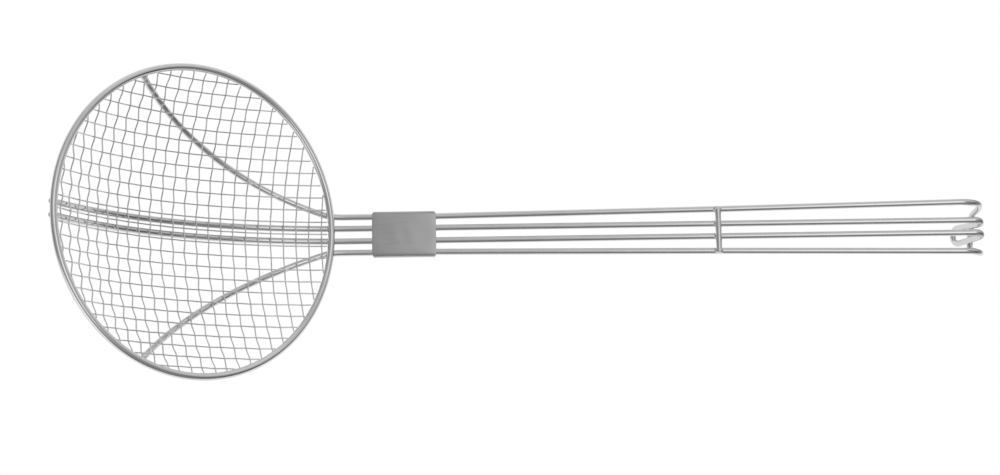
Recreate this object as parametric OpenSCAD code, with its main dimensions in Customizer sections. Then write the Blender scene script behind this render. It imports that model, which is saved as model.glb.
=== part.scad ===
// Spider skimmer: a shallow bowl of woven wire on a long handle of four parallel wires.
// Rim ring, two bent frame wires, grip sleeve and cross wire hold 25 long and 24 cross mesh wires.
// Each frame wire is drawn as two legs and an end bend, which meet face to face.
// The whole utensil lies at rest on a table, with the handle along +X and +Z up. Units: mm.

/* [Node] */
// Which piece to draw, or "all"

/* [Wire] */
// Diameter of the two bent frame wires and of the cross wire
frame_wire_diameter = 3.2; // [2.4:0.1:4.5]
// Diameter of the rim ring's wire
rim_wire_diameter = 3.6; // [2.8:0.1:5.5]
// Diameter of the woven mesh wire
mesh_wire_diameter = 0.7; // [0.4:0.05:1.1]

/* [Bowl] */
// Outer diameter of the rim ring
rim_outer_diameter = 153.8; // [110:0.2:190]
// Radius of the sphere that the mesh's middle surface follows
bowl_sphere_radius = 140; // [110:1:220]
// How far outside the rim wire's centre line that sphere passes
mesh_below_rim = 0.74; // [0.5:0.02:1.6]

/* [Mesh] */
// Number of mesh wires that run along the handle's direction
long_wire_count = 25; // [9:2:27]
// Distance from the rim to the outermost long mesh wires, measured on the bowl
long_wire_edge_gap = 4; // [2.5:0.1:8]
// Number of mesh wires that run across the handle's direction
cross_wire_count = 24; // [8:1:25]
// Distance from the rim's far side to the first cross mesh wire, measured on the bowl
cross_wire_far_gap = 5.3; // [2.5:0.1:8]
// Distance from the rim's handle side to the last cross mesh wire, measured on the bowl
cross_wire_near_gap = 3; // [2.5:0.1:8]

/* [Ribs under the bowl] */
// Distance between the centre lines of the two inner ribs and inner handle wires
inner_wire_spacing = 6.4; // [5.6:0.1:9]
// How far the rib ends reach beyond the rim wire's centre line, seen from above
rib_end_overhang = -0.7; // [-1:0.1:3]
// Outer rib where it reaches the rim: its place along the handle's direction
outer_rib_near_along_share = 0.977; // [0.95:0.001:0.985]
// Outer rib where it reaches the rim: its place beside the symmetry plane
outer_rib_near_aside_share = 0.137; // [0.11:0.001:0.2]
// Outer rib half way: its place along the handle's direction
outer_rib_middle_along_share = 0.32; // [0.2:0.01:0.4]
// Outer rib half way: its place beside the symmetry plane
outer_rib_middle_aside_share = 0.447; // [0.35:0.001:0.55]
// Direction of the outer rib's end under the rim, counted from the handle
outer_rib_end_angle = 112.3; // [95:0.5:135]

/* [Handle] */
// Rise of the handle above the plane of the rim
handle_rise = 35.8; // [20:0.2:45]
// Length from the end of the ribs' curve to the tip of the hook
handle_length = 322.1; // [180:0.2:420]
// Half distance between the outer handle wires inside the sleeve
outer_spread_at_sleeve = 9.1; // [7:0.1:12]
// Half distance between the outer handle wires at the cross wire
outer_spread_at_cross_wire = 10.7; // [8:0.1:14]
// Half distance between the outer handle wires at the hook
outer_spread_at_hook = 12.6; // [9:0.1:18]
// Start of the sleeve, from the end of the ribs' curve
sleeve_start = 10; // [4:0.1:30]
// Cross wire's distance from the end of the ribs' curve
cross_wire_position = 184.7; // [80:0.2:260]

/* [Grip sleeve] */
// Length of the flattened sleeve along the handle
sleeve_length = 32.2; // [15:0.2:60]
// Wall thickness of the sleeve
sleeve_wall = 0.85; // [0.5:0.05:1.2]
// Corner radius of the sleeve seen from above
sleeve_corner_radius = 1.2; // [0.4:0.1:4]

/* [Hook and hanging eye] */
// Turn of the four wires at the end of the handle
hook_turn = 116; // [110:1:150]
// Bend radius of the two inner wires at the hook, on their centre line
inner_bend_radius = 5.2; // [4:0.1:10]
// Length from the hook's bend to the centre of the hanging eye's round end
eye_leg_length = 15.5; // [8:0.1:25]
// Radius of the hanging eye's round end, on the wire's centre line
eye_radius = 4.1; // [3.4:0.1:8]
// Corner radius of the outer wire's closed end, on its centre line
crosspiece_corner_radius = 4; // [3:0.1:7]

/* [Clearances] */
// Gap between crossing mesh wires
weave_clearance = 0.03; // [0.01:0.01:0.1]
// Gap between the mesh wires' ends and the rim
mesh_end_clearance = 0.05; // [0.02:0.01:0.2]
// Gap between the ribs and the rim or mesh that they carry
rib_clearance = 0.08; // [0.04:0.01:0.2]
// Gap between the wires and the sleeve's upper and lower inner faces
sleeve_clearance = 0.05; // [0.02:0.01:0.1]
// Gap between the outer wires and the sleeve's inner sides
sleeve_side_clearance = 0.1; // [0.06:0.01:0.3]
// Gap between frame wires that lie on each other
frame_clearance = 0.06; // [0.02:0.01:0.2]

/* [Hidden] */
// Facets round a frame wire, and round a mesh wire
frame_sides = 12;
mesh_sides = 6;
// Straight steps along a rib, along a hook bend and round an eye or corner
rib_steps = 24;
hook_steps = 10;
eye_steps = 8;
corner_steps = 6;
blend_steps = 8;
// Share of the blend's span at which each control point lies
blend_share = 0.34;
// Share of the wire's radius that is chamfered off the cross wire's ends
end_chamfer_share = 0.25;
// Fineness of true circles
$fn = 64;

// Radii of the wires
frame_wire_radius = frame_wire_diameter / 2;
rim_wire_radius = rim_wire_diameter / 2;
mesh_wire_radius = mesh_wire_diameter / 2;

// Rim: centre line radius, and its distance and direction from the bowl sphere's centre
rim_radius = rim_outer_diameter / 2 - rim_wire_radius;
rim_reach = bowl_sphere_radius - mesh_below_rim;
rim_angle = asin(rim_radius / rim_reach);
// Height of the bowl sphere's centre above the rim's plane
sphere_height = rim_reach * cos(rim_angle);
sphere_centre = [0, 0, sphere_height];

// Distance kept between a mesh wire's end and the rim's centre line
mesh_end_gap = rim_wire_radius + mesh_wire_radius + mesh_end_clearance;

// Distances on the bowl from its middle to the rim, and between neighbouring mesh wires
rim_distance = along_bowl(mesh_end_radius(0));
long_wire_pitch = 2 * (rim_distance - long_wire_edge_gap) / (long_wire_count - 1);
cross_wire_pitch = (2 * rim_distance - cross_wire_far_gap - cross_wire_near_gap)
    / (cross_wire_count - 1);

// Weave: cross wires swing this far to each side of the long wires
weave_swing = mesh_wire_diameter + weave_clearance;
weave_slope = atan(2 * weave_swing / long_wire_pitch);

// Radius, seen from above, at which the ribs end
rib_end_radius = rim_radius + rib_end_overhang;
// Outer ribs follow a sphere just below the lowest swings of the mesh
outer_rib_sphere = bowl_sphere_radius + weave_swing + mesh_wire_radius
    + frame_wire_radius + rib_clearance;

// Inner ribs: one arc that touches the mesh at the bowl's bottom and the rim from below
inner_offset = inner_wire_spacing / 2;
rib_under_rim = rim_wire_radius + frame_wire_radius + rib_clearance;
rim_touch = [
    (rim_reach + rib_under_rim) * sin(rim_angle),
    sphere_height - (rim_reach + rib_under_rim) * cos(rim_angle)
];
inner_rib_bottom = sphere_height - bowl_sphere_radius
    - (frame_wire_radius + mesh_wire_radius + rib_clearance) / cos(weave_slope);
inner_rib_rise = rim_touch[1] - inner_rib_bottom;
inner_rib_radius = (rim_touch[0] ^ 2 + inner_rib_rise ^ 2) / (2 * inner_rib_rise);
inner_rib_height = inner_rib_bottom + inner_rib_radius;

// Handle: where the inner ribs' arcs end, its direction and its upward normal
handle_start = [
    inner_rib_radius * sin(handle_rise),
    0,
    inner_rib_height - inner_rib_radius * cos(handle_rise)
];
handle_direction = [cos(handle_rise), 0, sin(handle_rise)];
handle_normal = [-sin(handle_rise), 0, cos(handle_rise)];

// Outer hook bend: its legs lie against the outside of the inner legs
outer_bend_radius = inner_bend_radius
    + (frame_wire_diameter + frame_clearance) / (1 - cos(hook_turn) - sin(hook_turn));
// Flare of the hanging eye's legs
eye_flare = asin(eye_radius / norm([eye_leg_length, inner_offset]))
    - atan2(inner_offset, eye_leg_length);
// Place where the outer wires have finished their bend at the rim
outer_bend_end = -2;

// Unit vector along v
function unit(v) = v / norm(v);

// Vector v after the shortest turn that takes direction a to direction b
function carried(v, a, b) =
    let (turn = cross(a, b), share = a * b)
    v * share + cross(turn, v) + turn * (turn * v) / (1 + share);

// Direction of travel at every point of a path
function headings(path) =
    let (last = len(path) - 1)
    [for (i = [0:last])
        i == 0 ? unit(path[1] - path[0])
        : i == last ? unit(path[last] - path[last - 1])
        : unit(unit(path[i + 1] - path[i]) + unit(path[i] - path[i - 1]))];

// Side directions along a path, carried on without twist from the first one
function side_directions(path, first) =
    let (ways = headings(path), last = len(path) - 1)
    [for (
        i = 0, side = unit(first - ways[0] * (first * ways[0]));
        i <= last;
        side = carried(side, ways[i], ways[min(i + 1, last)]), i = i + 1
    ) side];

// Corner points of a round wire along a path, one ring of points after another
function wire_points(path, radius, sides, first) =
    let (ways = headings(path), normals = side_directions(path, first))
    [for (i = [0:len(path) - 1], k = [0:sides - 1])
        let (angle = 360 * k / sides)
        path[i] + radius * (cos(angle) * normals[i] + sin(angle) * cross(ways[i], normals[i]))];

// Faces between the rings of points, and the two end faces
function wire_faces(rings, sides) = concat(
    [[for (k = [0:sides - 1]) k]],
    [for (i = [0:rings - 2], k = [0:sides - 1], half = [0:1])
        let (a = i * sides + k, b = i * sides + (k + 1) % sides)
        half == 0 ? [a, a + sides, b] : [b, a + sides, b + sides]],
    [[for (k = [sides - 1:-1:0]) (rings - 1) * sides + k]]
);

// One half of a path followed by its mirror image, without doubling the middle point
function with_mirror(half) =
    let (last = len(half) - 1, doubled = half[last][1] == 0 ? 1 : 0)
    concat(half, [for (i = [last - doubled:-1:0]) [half[i][0], -half[i][1], half[i][2]]]);

// Coordinate on a sphere's section at a distance measured along the bowl
function on_bowl(distance) =
    bowl_sphere_radius * sin(distance / bowl_sphere_radius * 180 / PI);

// Distances of the mesh wires from the bowl's middle
function long_wire_y(i) = on_bowl((i - (long_wire_count - 1) / 2) * long_wire_pitch);
function cross_wire_x(i) = on_bowl(cross_wire_far_gap - rim_distance + i * cross_wire_pitch);

// Radius on the mesh's middle surface, seen from above, where a wire with an offset meets the rim
function mesh_end_radius(offset) =
    let (reach = bowl_sphere_radius + offset)
    bowl_sphere_radius * sin(rim_angle - acos(
        (reach ^ 2 + rim_reach ^ 2 - mesh_end_gap ^ 2) / (2 * reach * rim_reach)
    ));

// Point below (x, y) on a sphere round the bowl sphere's centre
function on_sphere(x, y, radius) = [x, y, sphere_height - sqrt(radius ^ 2 - x ^ 2 - y ^ 2)];

// Point at (x, y) of the mesh's surface, moved outwards by an offset
function off_mesh(x, y, offset) =
    let (direction = unit(on_sphere(x, y, bowl_sphere_radius) - sphere_centre))
    sphere_centre + direction * (bowl_sphere_radius + offset);

// Swing of a cross wire at a distance along it: crests at the long wires, straight between
function swing_at(i, distance) =
    let (
        place = distance / long_wire_pitch + (long_wire_count - 1) / 2,
        before = floor(place),
        crest = (i + before) % 2 == 0 ? 1 : -1
    )
    weave_swing * crest * (1 - 2 * (place - before));

// Distance along the bowl of the y coordinate y
function along_bowl(y) = asin(y / bowl_sphere_radius) * PI / 180 * bowl_sphere_radius;

// End coordinate of a cross wire on one side, refined a few times for its swing there
function cross_wire_end(i, side, tries = 4, offset = 0) =
    let (y = side * sqrt(mesh_end_radius(offset) ^ 2 - cross_wire_x(i) ^ 2))
    tries == 0 ? y : cross_wire_end(i, side, tries - 1, swing_at(i, along_bowl(y)));

// Centre line of a cross mesh wire
function cross_wire_path(i) =
    let (x = cross_wire_x(i), low = cross_wire_end(i, -1), high = cross_wire_end(i, 1))
    concat(
        [off_mesh(x, low, swing_at(i, along_bowl(low)))],
        [for (j = [0:long_wire_count - 1])
            let (y = long_wire_y(j))
            if (y > low + mesh_wire_radius && y < high - mesh_wire_radius)
                off_mesh(x, y, (i + j) % 2 == 0 ? weave_swing : -weave_swing)],
        [off_mesh(x, high, swing_at(i, along_bowl(high)))]
    );

// Point on the handle: distance along it, to the side and up
function on_handle(along, side, up) =
    handle_start + along * handle_direction + [0, side, 0] + up * handle_normal;

// Point on a hook bend of a given radius after a given turn
function on_hook(radius, turn, side) =
    on_handle(
        handle_length - frame_wire_radius - radius + radius * sin(turn),
        side,
        radius * cos(turn) - radius
    );

// Point on the leg that follows a hook bend
function on_leg(radius, distance, side) =
    on_hook(radius, hook_turn, side)
    + distance * (cos(hook_turn) * handle_direction - sin(hook_turn) * handle_normal);

// Half of the inner frame wire, on the left: rib, handle, hook, leg and half of the hanging eye
inner_half = concat(
    let (first = -asin(rib_end_radius / inner_rib_radius))
    [for (i = [0:rib_steps])
        let (angle = first + (handle_rise - first) * i / rib_steps)
        [inner_rib_radius * sin(angle), inner_offset, inner_rib_height - inner_rib_radius * cos(angle)]],
    [for (i = [0:hook_steps]) on_hook(inner_bend_radius, hook_turn * i / hook_steps, inner_offset)],
    [for (i = [0:eye_steps])
        let (angle = (90 + eye_flare) * (1 - i / eye_steps))
        on_leg(inner_bend_radius, eye_leg_length + eye_radius * cos(angle), eye_radius * sin(angle))]
);
inner_path = with_mirror(inner_half);

// Circle that the outer rib follows: the section of its sphere through three points
rib_near_point = on_sphere(
    rim_radius * outer_rib_near_along_share,
    rim_radius * outer_rib_near_aside_share,
    outer_rib_sphere
);
rib_middle_point = on_sphere(
    rim_radius * outer_rib_middle_along_share,
    rim_radius * outer_rib_middle_aside_share,
    outer_rib_sphere
);
rib_end_point = on_sphere(
    rib_end_radius * cos(outer_rib_end_angle),
    rib_end_radius * sin(outer_rib_end_angle),
    outer_rib_sphere
);
rib_plane_normal = unit(cross(rib_middle_point - rib_near_point, rib_end_point - rib_near_point));
rib_circle_centre = sphere_centre
    + rib_plane_normal * ((rib_near_point - sphere_centre) * rib_plane_normal);
rib_circle_radius = norm(rib_near_point - rib_circle_centre);
rib_circle_x = unit(rib_near_point - rib_circle_centre);
rib_circle_y = cross(rib_plane_normal, rib_circle_x);
rib_circle_turn = atan2(
    (rib_end_point - rib_circle_centre) * rib_circle_y,
    (rib_end_point - rib_circle_centre) * rib_circle_x
);
// Direction of the outer rib where it reaches the rim near the handle
rib_near_heading = rib_circle_turn > 0 ? -rib_circle_y : rib_circle_y;

// Control points of the outer wire's bend between its rib and the handle
bend_end_point = on_handle(outer_bend_end, outer_spread_at_sleeve, 0);
bend_reach = norm(bend_end_point - rib_near_point) * blend_share;
bend_controls = [
    rib_near_point,
    rib_near_point + bend_reach * rib_near_heading,
    bend_end_point - bend_reach * handle_direction,
    bend_end_point
];

// Half of the outer frame wire, on the left: rib, bend at the rim, handle, hook, half of the crosspiece
outer_half = concat(
    [for (i = [rib_steps:-1:0])
        let (angle = rib_circle_turn * i / rib_steps)
        rib_circle_centre + rib_circle_radius * (cos(angle) * rib_circle_x + sin(angle) * rib_circle_y)],
    [for (i = [1:blend_steps])
        let (t = i / blend_steps)
        (1 - t) ^ 3 * bend_controls[0] + 3 * t * (1 - t) ^ 2 * bend_controls[1]
            + 3 * t ^ 2 * (1 - t) * bend_controls[2] + t ^ 3 * bend_controls[3]],
    [
        on_handle(sleeve_start + sleeve_length, outer_spread_at_sleeve, 0),
        on_handle(cross_wire_position, outer_spread_at_cross_wire, 0)
    ],
    [for (i = [0:hook_steps])
        on_hook(outer_bend_radius, hook_turn * i / hook_steps, outer_spread_at_hook)],
    [for (i = [1:corner_steps])
        let (angle = 90 * i / corner_steps)
        on_leg(
            outer_bend_radius,
            crosspiece_corner_radius * sin(angle),
            outer_spread_at_hook - crosspiece_corner_radius * (1 - cos(angle))
        )]
);
outer_path = with_mirror(outer_half);

// Corner points of the two frame wires
inner_points = wire_points(inner_path, frame_wire_radius, frame_sides, [0, 0, 1]);
outer_points = wire_points(outer_path, frame_wire_radius, frame_sides, [0, 0, 1]);

// Numbers of the rings of points at which the end bends start, and the last rings' numbers
inner_cut = rib_steps + 1;
outer_cut = rib_steps + blend_steps + 3;
inner_last = len(inner_path) - 1;
outer_last = len(outer_path) - 1;

// Corner points of the rings from first to last
function ring_range(points, sides, first, last) =
    [for (i = [first * sides:(last + 1) * sides - 1]) points[i]];

// Tilt at rest: the table touches the inner ribs from below and the hanging eye's round end
eye_tip = on_leg(inner_bend_radius, eye_leg_length + eye_radius, 0);
rest_span = [eye_tip[0], eye_tip[2] - inner_rib_height];
rest_tilt = atan2(rest_span[1], rest_span[0]) + asin(inner_rib_radius / norm(rest_span));

// Shift that puts the middle of the utensil's length and its lowest point at the origin
rest_x = [for (p = concat(inner_points, outer_points)) p[0] * cos(rest_tilt) + p[2] * sin(rest_tilt)];
rest_z = [for (p = concat(inner_points, outer_points)) p[2] * cos(rest_tilt) - p[0] * sin(rest_tilt)];
rest_shift = [-(min(rest_x) + max(rest_x)) / 2, 0, -min(rest_z)];

// Name of a numbered mesh wire, counted from 01
function numbered(name, i) = str(name, i < 9 ? "0" : "", i + 1);

// Every piece of the assembly

// Lays a piece that is drawn in the bowl's own frame down on the table
module at_rest() {
    translate(rest_shift)
        rotate([0, rest_tilt, 0])
            children();
}

// Draws a piece in the handle's frame: X along the handle, Z away from its upper side
module on_handle_frame() {
    translate(handle_start)
        rotate([0, -handle_rise, 0])
            children();
}

// Draws a bent wire from its corner points
module bent_wire(points, sides) {
    polyhedron(points = points, faces = wire_faces(len(points) / sides, sides), convexity = 10);
}

// Draws the part of a frame wire that lies between two of its rings of points
module frame_wire_part(points, first, last) {
    color("lightgray")
        at_rest()
            bent_wire(ring_range(points, frame_sides, first, last), frame_sides);
}

// Rim: one round ring of thick wire
module rim_ring() {
    color("silver")
        at_rest()
            rotate_extrude()
                translate([rim_radius, 0])
                    circle(r = rim_wire_radius);
}

// Inner frame wire, left leg: an inner rib and an inner handle wire
module inner_wire_left() {
    frame_wire_part(inner_points, 0, inner_cut);
}

// Inner frame wire, right leg
module inner_wire_right() {
    frame_wire_part(inner_points, inner_last - inner_cut, inner_last);
}

// Inner frame wire, end bend: the hook's two inner bends and the hanging eye
module eye_bend() {
    frame_wire_part(inner_points, inner_cut, inner_last - inner_cut);
}

// Outer frame wire, left leg: an outer rib and an outer handle wire
module outer_wire_left() {
    frame_wire_part(outer_points, 0, outer_cut);
}

// Outer frame wire, right leg
module outer_wire_right() {
    frame_wire_part(outer_points, outer_last - outer_cut, outer_last);
}

// Outer frame wire, end bend: the hook's two outer bends and the crosspiece between them
module crosspiece_bend() {
    frame_wire_part(outer_points, outer_cut, outer_last - outer_cut);
}

// Sleeve's outer width and thickness round the wires that it holds
sleeve_width = 2 * (outer_spread_at_sleeve + frame_wire_radius + sleeve_side_clearance + sleeve_wall);
sleeve_thickness = 2 * (frame_wire_radius + sleeve_clearance + sleeve_wall);

// Flat oval section of the sleeve, narrowed all round by an inset
module sleeve_section(inset) {
    half_height = sleeve_thickness / 2 - inset;
    straight = sleeve_width / 2 - inset - half_height;
    square([2 * straight, 2 * half_height], center = true);
    for (side = [-1, 1])
        translate([side * straight, 0])
            circle(r = half_height);
}

// Outline of the sleeve seen from above, with rounded corners
module sleeve_outline() {
    radius = sleeve_corner_radius;
    square([sleeve_length - 2 * radius, sleeve_width], center = true);
    square([sleeve_length, sleeve_width - 2 * radius], center = true);
    for (x = [-1, 1], y = [-1, 1])
        translate([x * (sleeve_length / 2 - radius), y * (sleeve_width / 2 - radius)])
            circle(r = radius);
}

// Grip sleeve: a flattened tube round the four handle wires
module grip_sleeve() {
    color("gainsboro")
        at_rest()
            on_handle_frame()
                translate([sleeve_start + sleeve_length / 2, 0, 0])
                    intersection() {
                        rotate([90, 0, 90])
                            linear_extrude(height = sleeve_length, center = true)
                                difference() {
                                    sleeve_section(0);
                                    sleeve_section(sleeve_wall);
                                }
                        linear_extrude(height = 2 * sleeve_thickness, center = true)
                            sleeve_outline();
                    }
}

// Cross wire: a short rod on top of the four handle wires, cut flush with the outer ones
module cross_wire() {
    half_length = outer_spread_at_cross_wire + frame_wire_radius;
    chamfer = frame_wire_radius * end_chamfer_share;
    color("lightgray")
        at_rest()
            on_handle_frame()
                translate([cross_wire_position, 0, frame_wire_diameter + frame_clearance])
                    rotate([90, 0, 0])
                        rotate_extrude()
                            polygon([
                                [0, -half_length],
                                [frame_wire_radius - chamfer, -half_length],
                                [frame_wire_radius, chamfer - half_length],
                                [frame_wire_radius, half_length - chamfer],
                                [frame_wire_radius - chamfer, half_length],
                                [0, half_length]
                            ]);
}

// Long mesh wire: an arc of the bowl in a plane along the handle
module mesh_long(i) {
    y = long_wire_y(i);
    radius = sqrt(bowl_sphere_radius ^ 2 - y ^ 2);
    half_angle = asin(sqrt(mesh_end_radius(0) ^ 2 - y ^ 2) / radius);
    color("whitesmoke")
        at_rest()
            translate([0, y, sphere_height])
                rotate([90, 0, 0])
                    rotate([0, 0, -90 - half_angle])
                        rotate_extrude(angle = 2 * half_angle)
                            translate([radius, 0])
                                circle(r = mesh_wire_radius);
}

// Cross mesh wire: woven over and under the long mesh wires
module mesh_cross(i) {
    path = cross_wire_path(i);
    color("whitesmoke")
        at_rest()
            bent_wire(
                wire_points(path, mesh_wire_radius, mesh_sides, path[0] - sphere_centre),
                mesh_sides
            );
}

rim_ring();
inner_wire_left();
inner_wire_right();
eye_bend();
outer_wire_left();
outer_wire_right();
crosspiece_bend();
grip_sleeve();
cross_wire();
for (i = [0:long_wire_count - 1])
    mesh_long(i);
for (i = [0:cross_wire_count - 1])
    mesh_cross(i);
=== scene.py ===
"""Looks of the spider skimmer: round drawn wires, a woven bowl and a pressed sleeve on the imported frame."""

import logging
import math
from dataclasses import dataclass, field
from enum import Enum
from typing import Callable, Sequence

import bmesh
import bpy
from mathutils import Euler, Matrix, Vector


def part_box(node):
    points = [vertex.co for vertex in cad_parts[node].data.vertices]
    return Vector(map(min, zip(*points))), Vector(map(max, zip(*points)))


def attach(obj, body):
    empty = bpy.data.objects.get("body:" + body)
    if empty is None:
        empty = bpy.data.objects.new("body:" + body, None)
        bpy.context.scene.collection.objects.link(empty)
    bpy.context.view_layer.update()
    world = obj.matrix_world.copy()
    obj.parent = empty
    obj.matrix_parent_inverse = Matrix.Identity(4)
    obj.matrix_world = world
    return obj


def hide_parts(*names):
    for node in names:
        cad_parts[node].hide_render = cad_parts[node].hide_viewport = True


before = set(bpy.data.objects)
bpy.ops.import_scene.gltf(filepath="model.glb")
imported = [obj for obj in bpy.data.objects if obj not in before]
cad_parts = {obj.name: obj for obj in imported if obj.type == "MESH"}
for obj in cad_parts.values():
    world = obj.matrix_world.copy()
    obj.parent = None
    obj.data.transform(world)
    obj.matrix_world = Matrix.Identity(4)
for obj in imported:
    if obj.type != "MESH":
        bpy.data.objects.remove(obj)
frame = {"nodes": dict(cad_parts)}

LOG = logging.getLogger("skimmer")
MM = 0.001
WIRE_SPACE = "wire_space"
BEND_STEPS = 24
SAME_POINT = 1e-6
UPWARDS = Vector((0.0, 0.0, 1.0))
WHITE = (1.0, 1.0, 1.0, 1.0)


@dataclass(frozen=True)
class WireSizes:
    """Radii of the three wires, in millimetres."""

    frame: float = 1.6
    rim: float = 1.8
    mesh: float = 0.35


@dataclass(frozen=True)
class BowlSizes:
    """Sizes of the rim, the bowl's sphere and the weave, in millimetres.

    An edge gap is the distance along the bowl from the rim to the outermost wire, and a swing is how far a
    mesh wire moves to either side of the sphere.
    """

    rim_radius: float = 75.1
    sphere_radius: float = 140.0
    mesh_below_rim: float = 0.74
    long_count: int = 25
    long_edge_gap: float = 4.0
    cross_count: int = 24
    cross_far_gap: float = 5.3
    cross_near_gap: float = 3.0
    cross_swing: float = 0.57
    long_swing: float = 0.16
    end_clearance: float = 0.05


@dataclass(frozen=True)
class RibSizes:
    """Sizes and places of the ribs under the bowl, in millimetres and degrees.

    The outer rib passes through the near and the middle point, whose places seen from above are shares of
    the rim's radius, and ends under the rim at the end angle. The mesh swing is the room that both ribs
    leave for the waves of the mesh.
    """

    inner_offset: float = 3.2
    clearance: float = 0.08
    mesh_swing: float = 0.73
    end_overhang: float = -0.7
    near_shares: tuple[float, float] = (0.977, 0.137)
    middle_shares: tuple[float, float] = (0.32, 0.447)
    end_angle: float = 112.3


@dataclass(frozen=True)
class HandleSizes:
    """Sizes and places along the handle, in millimetres and degrees.

    A spread is an outer wire's distance from the middle plane. The inner wires' straight run has points
    from the first margin after the handle's start to the second margin before its end. The outer wires'
    run has a point about every outer step, and starts at the bend's end.
    """

    rise: float = 35.8
    length: float = 322.1
    inner_margins: tuple[float, float] = (2.0, 9.0)
    inner_steps: int = 60
    outer_step: float = 5.0
    spread_at_sleeve: float = 9.1
    spread_at_cross_wire: float = 10.7
    spread_at_hook: float = 12.6
    sleeve_start: float = 10.0
    sleeve_length: float = 32.2
    sleeve_wall: float = 0.85
    sleeve_clearance: float = 0.05
    sleeve_side_clearance: float = 0.1
    cross_wire_at: float = 184.7
    bend_end: float = -2.0
    blend_share: float = 0.34


@dataclass(frozen=True)
class HookSizes:
    """Sizes of the hook bend, the hanging eye and the crosspiece, in millimetres and degrees.

    The eye's leg has points within the leg span, and the crosspiece has one on each side at the
    crosspiece point's distance from the middle plane.
    """

    turn: float = 116.0
    inner_radius: float = 5.2
    eye_leg: float = 15.5
    eye_radius: float = 4.1
    leg_span: tuple[float, float] = (1.5, 13.5)
    leg_steps: int = 6
    corner_radius: float = 4.0
    crosspiece_point: float = 3.0
    clearance: float = 0.06


@dataclass(frozen=True)
class HookSway:
    """How the bent end of a hairpin departs from a true one, with lengths in millimetres.

    It departs more and more until it is down at the depth. There a point has moved along the handle by the
    reach, and by the skew times its place to the side. That place has shrunk by the share of the squeeze
    and then moved by the shift.
    """

    depth: float
    reach: float
    skew: float
    squeeze: float
    shift: float


INNER_SWAY = HookSway(depth=5.0, reach=-0.65, skew=0.0, squeeze=0.0, shift=-1.25)
OUTER_SWAY = HookSway(depth=20.0, reach=0.9, skew=0.08, squeeze=0.22, shift=0.0)


def arc_points(
    point_at: Callable[[float], Vector], start: float, stop: float, steps: int
) -> list[Vector]:
    """Points of a curve at even steps of its parameter.

    Args:
        point_at: Gives the point for a parameter.
        start: First parameter.
        stop: Last parameter.
        steps: Number of steps.

    Returns:
        The points, one more than the steps.
    """
    return [point_at(start + (stop - start) * i / steps) for i in range(steps + 1)]


def middle_of(node: str) -> Vector:
    """Gives the middle of a CAD node's box, in metres."""
    low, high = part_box(node)
    return (Vector(low) + Vector(high)) / 2


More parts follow.
